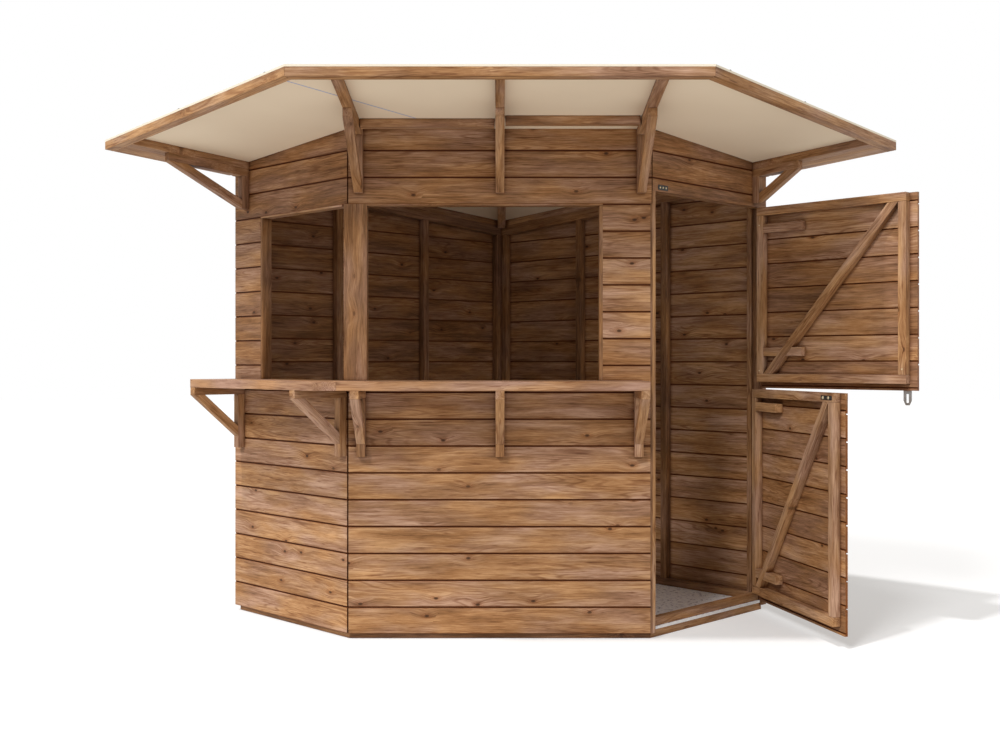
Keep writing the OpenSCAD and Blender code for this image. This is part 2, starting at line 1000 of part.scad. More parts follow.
module lower_door_cladding() {
  color(wood)
    on_leaf(lower_open)
      leaf_bar(leaf_start, leaf_end, 0, clad, lower_foot, lower_top);
}

module lower_door_frame() {
  color(wood)
    on_leaf(lower_open)
      leaf_frame(lower_frame_foot, lower_top);
}

module lower_door_blocks() {
  color(wood)
    on_leaf(lower_open)
      leaf_blocks(lower_frame_foot, lower_top, lower_hinges);
}

module lower_door_hinges() {
  color(dark)
    on_leaf(lower_open)
      leaf_hinges(lower_hinges);
}

// the fixed half of each hinge: a plate on the far strip and a knuckle above and below the leaf's
module hinge_plates() {
  tall = strap_root + 2 * (plate_knuckle + slip);
  color(dark)
    on_right()
      translate([near + pin_along, 0, 0])
        for (z = concat(upper_hinges, lower_hinges))
          union() {
            bar(far_strip - pin_along, far_strip - pin_along + plate_wide, -strap_thick, 0,
              z - tall / 2, z + tall / 2);
            for (side = [0, 1])
              translate([0, 0, z - tall / 2 + side * (tall - plate_knuckle)]) {
                bar(0, far_strip - pin_along + 1, -strap_thick, 0, 0, plate_knuckle);
                translate([0, -pin_out, 0])
                  cylinder(r = knuckle_radius, h = plate_knuckle, $fn = 48);
              }
          }
}

module header_keep() {
  color(dark)
    on_right()
      right_bar(keep_near, keep_near + keep_long, -keep_thick, 0,
        keep_mid - keep_tall / 2, keep_mid + keep_tall / 2);
}

base_rim();
base_bearers();
floor_sheet();
front_lower_cladding();
front_header_cladding();
corner_board();
front_frame();
left_lower_cladding();
left_header_cladding();
pier_cladding();
left_frame();
linings();
right_header_cladding();
door_jamb_trim();
right_frame();
back_left_cladding();
back_left_frame();
back_right_cladding();
back_right_frame();
counter_front();
counter_left();
sills();
counter_posts();
counter_arms();
counter_braces();
roof_sheet_left();
roof_sheet_right();
roof_edge_battens();
roof_rear_battens();
roof_rails();
centre_rafter();
roof_bracket_posts();
roof_bracket_arms();
roof_bracket_braces();
upper_door_cladding();
upper_door_frame();
upper_door_blocks();
upper_door_hinges();
hasp();
lower_door_cladding();
lower_door_frame();
lower_door_blocks();
lower_door_hinges();
hinge_plates();
header_keep();
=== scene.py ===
import bpy
import bmesh
import math
import random
from mathutils import Matrix, Vector


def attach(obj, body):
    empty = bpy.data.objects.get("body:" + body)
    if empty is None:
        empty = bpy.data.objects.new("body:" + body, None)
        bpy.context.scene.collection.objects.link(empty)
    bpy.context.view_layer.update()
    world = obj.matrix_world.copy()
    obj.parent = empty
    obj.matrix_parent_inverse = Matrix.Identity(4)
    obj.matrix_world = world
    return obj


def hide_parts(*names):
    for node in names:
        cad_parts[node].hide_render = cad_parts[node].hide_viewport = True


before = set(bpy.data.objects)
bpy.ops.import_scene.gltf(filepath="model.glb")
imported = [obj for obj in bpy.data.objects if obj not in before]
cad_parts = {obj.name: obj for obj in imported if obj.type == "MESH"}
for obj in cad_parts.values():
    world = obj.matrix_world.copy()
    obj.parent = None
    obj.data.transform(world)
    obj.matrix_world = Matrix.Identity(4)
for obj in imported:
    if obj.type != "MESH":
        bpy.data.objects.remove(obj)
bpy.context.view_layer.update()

# ---- sizes shared with the part's source, in metres ----
HALF = 0.8815           # half the side of the square plan
FRONT = 0.6046          # from the origin to the face of the front wall
LAP = 0.012             # how far the back right boards stand out past the square
CLAD = 0.014            # thickness of the boards
FOOT = 0.0235           # lower edge of the boards
COVER = 0.113           # height that one board covers
OPEN_COURSES = 16       # boards between the foot and the head of the serving openings
COUNTER_UNDER = 1.0505
DOOR_HEAD = 1.888
UPPER_FOOT = 1.044      # the upper leaf's lower and upper edges
UPPER_TOP = 1.882
LOWER_FOOT = 0.052      # the lower leaf's lower edge
SWING_ROOM = 0.0053     # clearance between the leaves
PIN_OUT = 0.005         # how far the hinge pins stand out from the wall's face
UPPER_OPEN = 88.5       # degrees that the leaves stand open in the photo
LOWER_OPEN = 58.7
LEAF_INNER = 0.050      # the leaf frames' inner face, from the boards' outer face
ROOF_THICK = 0.008
ROOF_FALL = 0.1         # the roof's fall towards the back, per metre
ROOF_UNDER = 2.0865     # the roof's underside over the origin

ROOT2 = math.sqrt(2)
NEAR = HALF - ROOT2 * FRONT         # where the side walls meet the front wall, along each of them
FRONT_HALF = ROOT2 * HALF - FRONT   # half the width of the front wall
SIDE_LONG = HALF - NEAR
OPEN_TOP = FOOT + OPEN_COURSES * COVER
PIER_FRONT = FRONT_HALF - 0.2095
PIER_LEFT = SIDE_LONG - 0.2105
PIN_ALONG = SIDE_LONG - 0.030
LEAF_END = PIN_ALONG - 0.040
LOWER_TOP = UPPER_FOOT - SWING_ROOM

BLACK = (0, 0, 0)
WHITE = (1, 1, 1)


def roof_z(y):
    """Height of the roof's underside."""
    return ROOF_UNDER - ROOF_FALL * y


# ---- shader node helpers ----
def new_material(name):
    mat = bpy.data.materials.new(name)
    mat.use_nodes = True
    tree = mat.node_tree
    return mat, tree, tree.nodes["Principled BSDF"]


def link(tree, a, b):
    tree.links.new(a, b)


def math_node(tree, op, a, b=None, c=None, clamp=False):
    """One math node. Each input is a number or a socket."""
    node = tree.nodes.new("ShaderNodeMath")
    node.operation = op
    node.use_clamp = clamp
    for socket, value in zip(node.inputs, (a, b, c)):
        if value is None:
            continue
        if isinstance(value, (int, float)):
            socket.default_value = value
        else:
            link(tree, value, socket)
    return node.outputs[0]


def times(tree, a, b):
    return math_node(tree, "MULTIPLY", a, b)


def plus(tree, a, b):
    return math_node(tree, "ADD", a, b)


def ramp(tree, fac, stops):
    """Colour over a factor, from (position, colour) stops."""
    node = tree.nodes.new("ShaderNodeValToRGB")
    elements = node.color_ramp.elements
    while len(elements) < len(stops):
        elements.new(0.5)
    for element, (position, colour) in zip(elements, stops):
        element.position = position
        element.color = (*colour, 1)
    link(tree, fac, node.inputs[0])
    return node.outputs[0]


def mix(tree, kind, fac, a, b):
    """Colour b over colour a. Each input is a number, a colour or a socket."""
    node = tree.nodes.new("ShaderNodeMix")
    node.data_type = "RGBA"
    node.blend_type = kind
    for socket, value in ((node.inputs[0], fac), (node.inputs[6], a), (node.inputs[7], b)):
        if isinstance(value, (int, float)):
            socket.default_value = value
        elif isinstance(value, tuple):
            socket.default_value = (*value, 1)
        else:
            link(tree, value, socket)
    return node.outputs[2]


def stretched(tree, vector, scale):
    """Coordinates scaled by three factors."""
    node = tree.nodes.new("ShaderNodeMapping")
    node.inputs["Scale"].default_value = scale
    link(tree, vector, node.inputs["Vector"])
    return node.outputs[0]


def noise(tree, vector, scale, detail=3, rough=0.5):
    """Noise with a scale of one number, or of three for the three axes."""
    node = tree.nodes.new("ShaderNodeTexNoise")
    if isinstance(scale, tuple):
        vector, scale = stretched(tree, vector, scale), 1.0
    node.inputs["Scale"].default_value = scale
    node.inputs["Detail"].default_value = detail
    node.inputs["Roughness"].default_value = rough
    node.inputs["Distortion"].default_value = 0.0
    link(tree, vector, node.inputs["Vector"])
    return node.outputs[0]


def attribute(tree, name):
    node = tree.nodes.new("ShaderNodeAttribute")
    node.attribute_name = name
    return node


def split_xyz(tree, vector):
    """The X, Y and Z sockets of a vector."""
    node = tree.nodes.new("ShaderNodeSeparateXYZ")
    link(tree, vector, node.inputs[0])
    return node.outputs


def add_bump(tree, bsdf, height, strength, distance):
    node = tree.nodes.new("ShaderNodeBump")
    node.inputs["Strength"].default_value = strength
    node.inputs["Distance"].default_value = distance
    link(tree, height, node.inputs["Height"])
    link(tree, node.outputs[0], bsdf.inputs["Normal"])


# ---- wood: scales are repeats per metre along, across and through the grain ----
KNOT_CELLS = (4.6, 8.2, 0)
KNOT_DRIFT = (1.3, 5, 5)
KNOT_BEND = 0.022       # metres that the grain bends around a knot
DRIFT_BEND = 0.034      # metres that the grain wanders
PATCHES = (2.9, 16, 16)
STREAKS = (3.4, 78, 78)
FIBRES = (15, 400, 400)
PATCH_SHARE = 0.34
STREAK_SHARE = 0.30
FIBRE_SHARE = 0.32
LIFT = 0.02             # added to the sum of the three
TONE_SPAN = 0.24        # how far a board's own tone moves the sum
GROWTH = (0.9, 13, 13)
GROWTH_LINES = 150      # waves over the full range of the growth noise
GROWTH_PLACES = (2.1, 7, 7)
HUES = (3.1, 11, 11)
TICKS = (9, 125, 125)
KNOT_RINGS = 190        # waves over the distance from a knot
JOINT_STAIN = (0.19, 0.052, 0.007)
CREASE_SHADE_REACH = 0.024    # metres from a corner over which the painted crease shade reaches


def warped(tree, at):
    """Grain coordinates bent around knots, the distance to the next knot, and a pick of the knots."""
    along, across, through = split_xyz(tree, at)
    cells = tree.nodes.new("ShaderNodeTexVoronoi")
    cells.voronoi_dimensions = "2D"
    cells.inputs["Scale"].default_value = 1.0
    link(tree, stretched(tree, at, KNOT_CELLS), cells.inputs["Vector"])
    pick = ramp(tree, cells.outputs["Color"], [(0.57, BLACK), (0.63, WHITE)])
    near_knot = ramp(tree, cells.outputs["Distance"],
                     [(0.0, WHITE), (0.10, (0.55,) * 3), (0.34, BLACK)])
    push = times(tree, times(tree, near_knot, pick), KNOT_BEND)
    push = plus(tree, push, times(tree, noise(tree, at, KNOT_DRIFT, 2), DRIFT_BEND))
    bent = tree.nodes.new("ShaderNodeCombineXYZ")
    link(tree, along, bent.inputs["X"])
    link(tree, plus(tree, across, push), bent.inputs["Y"])
    link(tree, through, bent.inputs["Z"])
    return bent.outputs[0], cells.outputs["Distance"], pick


def growth_lines(tree, at, bent):
    """Dark growth lines, as the level lines of a slow noise, in some places only."""
    lines = math_node(tree, "SINE", times(tree, noise(tree, bent, GROWTH, 1, 0.4), GROWTH_LINES))
    lines = ramp(tree, math_node(tree, "MULTIPLY_ADD", lines, 0.5, 0.5), [(0.0, WHITE), (0.35, BLACK)])
    places = ramp(tree, noise(tree, at, GROWTH_PLACES, 1), [(0.44, BLACK), (0.62, WHITE)])
    return times(tree, lines, places)


def with_knots(tree, colour, far, pick, dark, strength):
    """Knots: a warm halo, rings around it and a dark core."""
    halo = times(tree, ramp(tree, far, [(0.02, WHITE), (0.17, BLACK)]), pick)
    core = times(tree, ramp(tree, far, [(0.026, WHITE), (0.060, BLACK)]), pick)
    rings = ramp(tree, math_node(tree, "SINE", times(tree, far, KNOT_RINGS)),
                 [(0.3, BLACK), (1.0, WHITE)])
    rings = times(tree, rings, halo)
    colour = mix(tree, "MULTIPLY", times(tree, halo, 0.62 * strength), colour, (0.66, 0.42, 0.24))
    colour = mix(tree, "MULTIPLY", times(tree, rings, 0.5 * strength), colour, (0.40, 0.30, 0.22))
    return mix(tree, "MIX", times(tree, core, 0.85 * strength), colour, tuple(x * 0.26 for x in dark))


def wood(name, dark, mid, light, tone_range, knots=1.0):
    """Stained softwood, with painted shade in its corners and creases. It reads the grain, tone and joint
    values of the mesh.
    """
    mat, tree, bsdf = new_material(name)
    at = attribute(tree, "grain").outputs["Vector"]
    tone = attribute(tree, "tone").outputs["Fac"]
    joint = attribute(tree, "joint").outputs["Fac"]
    bent, knot_far, pick = warped(tree, at)

    streaks = noise(tree, bent, STREAKS, 4, 0.62)
    fibres = noise(tree, bent, FIBRES, 3, 0.7)
    patches = times(tree, noise(tree, bent, PATCHES, 4, 0.60), PATCH_SHARE)
    total = plus(tree, plus(tree, patches, LIFT),
                 plus(tree, times(tree, streaks, STREAK_SHARE), times(tree, fibres, FIBRE_SHARE)))
    total = plus(tree, total, times(tree, math_node(tree, "SUBTRACT", tone, 0.5), tone_range * TONE_SPAN))
    colour = ramp(tree, total, [(0.370, dark), (0.492, mid), (0.622, light)])

    # yellower and pinker places
    hue = ramp(tree, noise(tree, at, HUES, 2),
               [(0.40, (1.05, 0.99, 0.84)), (0.50, (1.0, 1.0, 1.0)), (0.62, (1.0, 1.04, 1.27))])
    colour = mix(tree, "MULTIPLY", 1.0, colour, hue)
    lines = times(tree, growth_lines(tree, at, bent), 0.6)
    colour = mix(tree, "MULTIPLY", lines, colour, (0.50, 0.36, 0.27))
    ticks = ramp(tree, noise(tree, bent, TICKS, 3, 0.55), [(0.60, BLACK), (0.69, WHITE)])
    colour = mix(tree, "MULTIPLY", times(tree, ticks, 0.7), colour, (0.46, 0.32, 0.25))
    colour = with_knots(tree, colour, knot_far, pick, dark, knots)
    colour = mix(tree, "MIX", times(tree, joint, 0.97), colour, JOINT_STAIN)

    # painted shade: the colour is darkened in the corners and creases where timbers meet, by an ambient
    # occlusion node
    corner = tree.nodes.new("ShaderNodeAmbientOcclusion")
    corner.samples = 8
    corner.inputs["Distance"].default_value = CREASE_SHADE_REACH
    painted_crease_shade = ramp(tree, corner.outputs["AO"], [(0.30, (0.42, 0.30, 0.22)), (0.88, WHITE)])
    link(tree, mix(tree, "MULTIPLY", 1.0, colour, painted_crease_shade), bsdf.inputs["Base Color"])
    bsdf.inputs["Roughness"].default_value = 0.55
    bsdf.inputs["Specular IOR Level"].default_value = 0.2
    add_bump(tree, bsdf, plus(tree, times(tree, streaks, 0.6), times(tree, fibres, 0.4)), 0.3, 0.0012)
    return mat


def plain(name, colour, roughness, metallic=0.0, speck_scale=300.0):
    """Metal, or the painted light of a roof crack, with fine specks."""
    mat, tree, bsdf = new_material(name)
    coords = tree.nodes.new("ShaderNodeTexCoord")
    speck = noise(tree, coords.outputs["Object"], speck_scale, 3)
    dark = tuple(x * 0.86 for x in colour)
    link(tree, ramp(tree, speck, [(0.3, dark), (0.7, colour)]), bsdf.inputs["Base Color"])
    bsdf.inputs["Roughness"].default_value = roughness
    bsdf.inputs["Metallic"].default_value = metallic
    add_bump(tree, bsdf, speck, 0.2, 0.0006)
    return mat


def facing(tree):
    """How far a face looks up: the Z of its normal."""
    return split_xyz(tree, tree.nodes.new("ShaderNodeNewGeometry").outputs["Normal"])["Z"]


def roof_sheet():
    """Smooth cream paint below, grey mineral felt in lapped strips above, pale edges."""
    strips_per_metre, strip_shift = 1.12, 0.53
    mat, tree, bsdf = new_material("cream_sheet")
    up = facing(tree)
    at = tree.nodes.new("ShaderNodeTexCoord").outputs["Object"]
    paint = ramp(tree, noise(tree, at, 2.2, 2), [(0.3, (0.90, 0.745, 0.545)), (0.7, (0.94, 0.79, 0.585))])
    grit = times(tree, noise(tree, at, 260, 3, 0.7), 0.7)
    grit = plus(tree, grit, times(tree, noise(tree, at, (0.7, 2.5, 2.5), 3), 0.3))
    felt = ramp(tree, grit, [(0.36, (0.15, 0.155, 0.15)), (0.64, (0.36, 0.365, 0.35))])
    strip = math_node(tree, "MULTIPLY_ADD", split_xyz(tree, at)["Y"], strips_per_metre, strip_shift)
    lap = ramp(tree, math_node(tree, "FRACT", strip),
               [(0.0, (0.45,) * 3), (0.010, (0.5,) * 3), (0.016, (1.08,) * 3), (0.2, (1.0,) * 3)])
    felt = mix(tree, "MULTIPLY", 1.0, felt, lap)
    on_top = ramp(tree, up, [(0.05, BLACK), (0.2, WHITE)])
    on_edge = ramp(tree, math_node(tree, "ABSOLUTE", up), [(0.3, WHITE), (0.6, BLACK)])
    faces = mix(tree, "MIX", on_top, paint, felt)
    link(tree, mix(tree, "MIX", on_edge, faces, (0.84, 0.75, 0.60)), bsdf.inputs["Base Color"])
    bsdf.inputs["Roughness"].default_value = 0.8
    return mat


def speckled_floor():
    """Speckled grey sheet with a pale sawn edge."""
    mat, tree, bsdf = new_material("floor_speckle")
    grit = noise(tree, tree.nodes.new("ShaderNodeTexCoord").outputs["Object"], 46, 5, 0.72)
    top = ramp(tree, grit, [(0.37, (0.30, 0.28, 0.34)), (0.45, (0.88, 0.90, 0.99)), (0.56, (0.97, 0.98, 1.0))])
    edge = ramp(tree, grit, [(0.3, (0.86, 0.85, 0.85)), (0.7, (0.95, 0.94, 0.94))])
    on_top = ramp(tree, facing(tree), [(0.3, BLACK), (0.6, WHITE)])
    link(tree, mix(tree, "MIX", on_top, edge, top), bsdf.inputs["Base Color"])
    bsdf.inputs["Roughness"].default_value = 0.8
    return mat


BOARD = wood("board_wood", (0.140, 0.063, 0.025), (0.325, 0.162, 0.073), (0.57, 0.340, 0.188), 0.38)
TIMBER = wood("timber_wood", (0.150, 0.070, 0.030), (0.330, 0.170, 0.080), (0.58, 0.35, 0.195), 0.6, 0.6)
COUNTER = wood("counter_wood", (0.26, 0.132, 0.070), (0.44, 0.245, 0.138), (0.62, 0.39, 0.25), 0.3, 0.7)
ROOF = roof_sheet()
FLOOR = speckled_floor()
IRON = plain("black_iron", (0.03, 0.03, 0.03), 0.45, 0.0, 500)
ZINC = plain("zinc_steel", (0.55, 0.55, 0.54), 0.35, 0.9, 600)
BRASS = plain("brass_screw", (0.74, 0.62, 0.40), 0.35, 0.25, 700)
# painted light: the pale blue of light seen through a crack in the roof sheet
CRACK_LIGHT = plain("crack_light_paint", (0.50, 0.52, 0.70), 0.6, 0.0, 40)


# ---- meshes ----
TINY = 1e-6


def new_mesh(source=None):
    """A mesh, empty or a copy, with room for the values that the wood reads."""
    bm = bmesh.new()
    if source:
        bm.from_mesh(source)
    bm.verts.layers.float_vector.new("grain")
    bm.verts.layers.float.new("tone")
    return bm


def finish_mesh(name, bm, material, body, nodes=()):
    """The scene's object for a mesh. It replaces CAD nodes, if any, and rides on a body."""
    mesh = bpy.data.meshes.new(name)
    bm.to_mesh(mesh)
    bm.free()
    mesh.materials.append(material)
    obj = bpy.data.objects.new(name, mesh)
    bpy.context.scene.collection.objects.link(obj)
    if nodes:
        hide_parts(*nodes)
    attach(obj, body)


def seed_of(key):
    """A board's own place in the grain (three offsets) and its tone."""
    r = random.Random(key)
    return (r.uniform(0, 50), r.uniform(-0.09, 0.09), r.uniform(0.03, 0.16), r.random())


def toned(seed, tone):
    """A seed with its board's tone drawn towards a given one."""
    return seed if tone is None else seed[:3] + (tone + 0.3 * (seed[3] - 0.5),)


def set_grain(bm, verts, origin, axes, seed):
    """Local wood coordinates: along, across and through the grain, offset by the seed."""
    grain = bm.verts.layers.float_vector["grain"]
    tone = bm.verts.layers.float["tone"]
    for v in verts:
        rel = v.co - origin
        v[grain] = Vector([rel.dot(axis) for axis in axes]) + Vector(seed[:3])
        v[tone] = seed[3]


def ease_edges(bm, width):
    if width > 0:
        edges = [e for e in bm.edges if e.calc_face_angle(0) > 0.3]
        bmesh.ops.bevel(bm, geom=edges, offset=width, segments=2, profile=0.5,
                        affect="EDGES", clamp_overlap=True)


def loose_parts(bm):
    """The mesh's separate timbers, each as a list of its vertices."""
    done = set()
    parts = []
    for start in bm.verts:
        if start in done:
            continue
        stack, part = [start], []
        done.add(start)
        while stack:
            v = stack.pop()
            part.append(v)
            for e in v.link_edges:
                other = e.other_vert(v)
                if other not in done:
                    done.add(other)
                    stack.append(other)
        parts.append(part)
    return parts


def timber_frame(part, run=None, turned=False):
    """A timber's centre and its axes: along the grain, across it and out of its broadest face.

    Turned, it shows the grain of its other broad face.
    """
    longest = max((e for v in part for e in v.link_edges), key=lambda e: e.calc_length())
    along = run or (longest.verts[1].co - longest.verts[0].co).normalized()
    if along.x + along.y * 0.5 + along.z * 0.25 < 0:
        along = -along
    # of faces of one size it takes the first, so that every run gives the same grain
    faces = {f for v in part for f in v.link_faces}
    flat = max(faces, key=lambda f: (f.calc_area(), -f.index)).normal
    up = flat - along * flat.dot(along)
    up.normalize()
    if turned:
        up = -up
    centre = sum((v.co for v in part), Vector()) / len(part)
    return centre, (along, along.cross(up), up)


def timbers(node, material, body, run=None, tone=None, turned=False):
    """A CAD node's own timbers, each with grain along its length and eased edges."""
    bm = new_mesh(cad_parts[node].data)
    bmesh.ops.remove_doubles(bm, verts=bm.verts, dist=TINY)
    bmesh.ops.dissolve_limit(bm, angle_limit=0.001, verts=bm.verts, edges=bm.edges)
    bm.faces.index_update()
    parts = loose_parts(bm)
    frames = [timber_frame(part, run, turned) for part in parts]
    for k, (part, (centre, axes)) in enumerate(zip(parts, frames)):
        set_grain(bm, part, centre, axes, toned(seed_of(node + str(k)), tone))
    ease_edges(bm, 0.0012)
    finish_mesh(node + "_dressed", bm, material, body, (node,))


# ---- walls' and leaves' own frames: X along the face, Y into the boards, Z up ----
def wall(angle, dist):
    return Matrix.Rotation(math.radians(angle), 4, "Z") @ Matrix.Translation((0, -dist, 0))


def leaf(angle):
    """A leaf's frame, turned about the line of pins from shut to open."""
    return (WALL_RIGHT @ Matrix.Translation((NEAR + PIN_ALONG, -PIN_OUT, 0))
            @ Matrix.Rotation(math.radians(angle), 4, "Z") @ Matrix.Translation((0, PIN_OUT, 0)))


WALL_FRONT = wall(0, FRONT)
WALL_LEFT = wall(-45, HALF)
WALL_RIGHT = wall(45, HALF)
WALL_BACK_LEFT = wall(-135, HALF)
WALL_BACK_RIGHT = wall(135, HALF + LAP)
LEAF_UP = leaf(UPPER_OPEN)
LEAF_LOW = leaf(LOWER_OPEN)

# ---- rebated boards ----
GAP = 0.0052        # the groove between two boards, on the face
REBATE = 0.0144     # how far the back of the joint lies above its face
GROOVE = 0.0066     # depth of the groove
STAIN = 0.75        # how dark the stain is at the edge of a joint


def board_profile(z0, z1):
    """Cross section (depth, height, how dark) of one rebated board from groove z0 to groove z1."""
    low, high = z0 + REBATE, z1 + REBATE
    return [(0, z0 + 0.0030, 0), (0, z0 + 0.0012, STAIN), (0.0012, z0, 1), (GROOVE, z0, 1),
            (GROOVE, low, 1), (0.0128, low, 1), (CLAD, low + 0.0012, STAIN), (CLAD, low + 0.0030, 0),
            (CLAD, high - 0.0070, 0), (CLAD, high - 0.0052, STAIN), (0.0128, high - 0.0040, 1),
            (0.0070, high - 0.0040, 1), (0.0070, z1 - GAP, 1), (0.0012, z1 - GAP, 1),
            (0, z1 - GAP - 0.0012, STAIN), (0, z1 - GAP - 0.0030, 0)]


def one_board(z0, z1, span):
    """One board over its whole height. Span: its ends at the face and at the back."""
    a_face, a_back, b_face, b_back = span
    bm = new_mesh()
    joint = bm.verts.layers.float.new("joint")
    ring = board_profile(z0, z1)
    rows = [[bm.verts.new((face + (back - face) * y / CLAD, y, z)) for y, z, _ in ring]
            for face, back in ((a_face, a_back), (b_face, b_back))]
    for row in rows:
        for v, (_, _, dark) in zip(row, ring):
            v[joint] = dark
    left, right = rows
    for i in range(len(ring)):
        j = (i + 1) % len(ring)
        bm.faces.new((left[i], left[j], right[j], right[i]))
    bm.faces.new(left)
    bm.faces.new(right[::-1])
    bmesh.ops.recalc_face_normals(bm, faces=bm.faces)
    return bm


def cut(bm, co, no):
    """Cut off what lies beyond a plane, and close the cut."""
    geom = bm.verts[:] + bm.edges[:] + bm.faces[:]
    out = bmesh.ops.bisect_plane(bm, geom=geom, plane_co=co, plane_no=no, clear_outer=True, dist=TINY)
    edges = [e for e in out["geom_cut"] if isinstance(e, bmesh.types.BMEdge) and e.is_boundary]
    if edges:
        bmesh.ops.edgenet_fill(bm, edges=edges)


def boards(name, matrix, span, z_low, z_high, nodes, key, body="shed", roof_drop=None, foot=FOOT,
           tone=None):
    """Rebated boards on a wall from z_low to z_high, or up to roof_drop below the roof."""
    turn = matrix.to_3x3()
    axes = [turn @ Vector(axis) for axis in ((1, 0, 0), (0, 0, 1), (0, 1, 0))]
    whole = new_mesh()
    whole.verts.layers.float.new("joint")
    first = int(math.floor((z_low - foot) / COVER + TINY)) - 1
    last = int(math.ceil((z_high - foot) / COVER - TINY)) + 1
    for k in range(first, last):
        z0, z1 = foot + k * COVER, foot + (k + 1) * COVER
        bm = one_board(z0, z1, span)
        if z0 < z_low - TINY or k == first:
            cut(bm, (0, 0, z_low), (0, 0, -1))
        if bm.verts and z1 + 0.016 > z_high:
            cut(bm, (0, 0, z_high), (0, 0, 1))
        bm.transform(matrix)
        if bm.verts and roof_drop is not None:
            cut(bm, (0, 0, roof_z(0) - roof_drop), (0, ROOF_FALL, 1))
        if bm.verts:
            origin = matrix @ Vector((0, 0, z0 + COVER / 2))
            set_grain(bm, bm.verts, origin, axes, toned(seed_of(key + str(k)), tone))
            joined = bpy.data.meshes.new("joined")
            bm.to_mesh(joined)
            whole.from_mesh(joined)
            bpy.data.meshes.remove(joined)
        bm.free()
    finish_mesh(name, whole, BOARD, body, nodes)


MITRE = CLAD * (ROOT2 - 1)      # what a board loses in a 45 degree corner, between face and back
HIGH = 2.6                      # above the roof, whose slope cuts the boards
UNDER_ROOF = 0.0002
UNDER_BATTENS = 0.0342          # the rear battens lie between the back boards and the roof
HEADER_FOOT = 1.9445 - 17 * COVER   # so that a joint of the right header falls at 1.9445

LEFT_SPAN = (-HALF, -HALF + CLAD, -NEAR - 0.003, -NEAR - MITRE - 0.002)
LEAF_SPAN = (-LEAF_END, -LEAF_END, -0.005, -0.005)
boards("front_lower_boards", WALL_FRONT,
       (-FRONT_HALF + 0.0045, -FRONT_HALF + MITRE + 0.002, FRONT_HALF - 0.009, FRONT_HALF - 0.009),
       FOOT, COUNTER_UNDER, ("front_lower_cladding",), "front", tone=0.68)
boards("front_header_boards", WALL_FRONT,
       (-FRONT_HALF + 0.004, -FRONT_HALF + MITRE + 0.002, FRONT_HALF - 0.004, FRONT_HALF - MITRE - 0.002),
       OPEN_TOP, HIGH, ("front_header_cladding",), "front", roof_drop=UNDER_ROOF)
boards("left_lower_boards", WALL_LEFT, LEFT_SPAN,
       FOOT, COUNTER_UNDER, ("left_lower_cladding",), "left", tone=0.87)
# painted shade: a darker tone stands for the shade of the roof's overhang on the left header boards
boards("left_header_boards", WALL_LEFT, LEFT_SPAN,
       OPEN_TOP, HIGH, ("left_header_cladding",), "left", roof_drop=UNDER_ROOF, tone=0.1)
boards("front_pier_boards", WALL_FRONT, (PIER_FRONT, PIER_FRONT, FRONT_HALF - 0.009, FRONT_HALF - 0.009),
       COUNTER_UNDER, OPEN_TOP, ("pier_cladding",), "front")
boards("left_pier_boards", WALL_LEFT, (-HALF, -HALF + CLAD, -NEAR - PIER_LEFT, -NEAR - PIER_LEFT),
       COUNTER_UNDER, OPEN_TOP, ("pier_cladding",), "left")
boards("right_header_boards", WALL_RIGHT, (NEAR, NEAR + MITRE, HALF + LAP, HALF + LAP - CLAD),
       DOOR_HEAD, HIGH, ("right_header_cladding",), "right", roof_drop=UNDER_ROOF, foot=HEADER_FOOT,
       tone=0.0)
# painted shade: a darker tone stands for the shade inside the shed on the back left boards
boards("back_left_boards", WALL_BACK_LEFT, (-HALF - LAP, -HALF - LAP + CLAD, HALF, HALF - CLAD),
       FOOT, HIGH, ("back_left_cladding",), "backleft", roof_drop=UNDER_BATTENS, tone=-0.05)
# painted light: a lighter tone stands for the light that falls in through the door on the back right boards
boards("back_right_boards", WALL_BACK_RIGHT, (-HALF, -HALF + CLAD, HALF, HALF - CLAD),
       FOOT, HIGH, ("back_right_cladding",), "backright", roof_drop=UNDER_BATTENS, tone=0.65)
boards("upper_leaf_boards", LEAF_UP, LEAF_SPAN,
       UPPER_FOOT, UPPER_TOP, ("upper_door_cladding",), "upper", "upper_leaf", foot=UPPER_FOOT - 9 * COVER)
boards("lower_leaf_boards", LEAF_LOW, LEAF_SPAN,
       LOWER_FOOT, LOWER_TOP, ("lower_door_cladding",), "lower", "lower_leaf", foot=LOWER_FOOT)


def box(name, matrix, lo, hi, material, body, bevel=0.0, axis=0, tone=None):
    """A box in a wall's or a leaf's own frame, with grain along one of its axes."""
    bm = new_mesh()
    bmesh.ops.create_cube(bm, size=1.0)
    for v in bm.verts:
        v.co = Vector([lo[i] + (hi[i] - lo[i]) * (v.co[i] + 0.5) for i in range(3)])
    bm.transform(matrix)
    turn = matrix.to_3x3()
    axes = [turn @ Vector([1.0 if i == (axis + k) % 3 else 0.0 for i in range(3)]) for k in range(3)]
    set_grain(bm, bm.verts, matrix @ ((Vector(lo) + Vector(hi)) / 2), axes, toned(seed_of(name), tone))
    ease_edges(bm, bevel)
    finish_mesh(name, bm, material, body, ())


# the edge of the door trim beside the front boards
box("corner_strip", WALL_FRONT, (FRONT_HALF - 0.0085, 0.0, FOOT),
    (FRONT_HALF - 0.0005, 0.0125, DOOR_HEAD - 0.056), TIMBER, "shed", 0.0006, 2, -0.3)

# timber behind the grooves where the left and back left boards meet
box("left_corner_core", WALL_LEFT, (-HALF + 0.0016, 0.0016, FOOT), (-HALF + 0.009, 0.009, 2.045),
    BOARD, "shed", 0, 2)

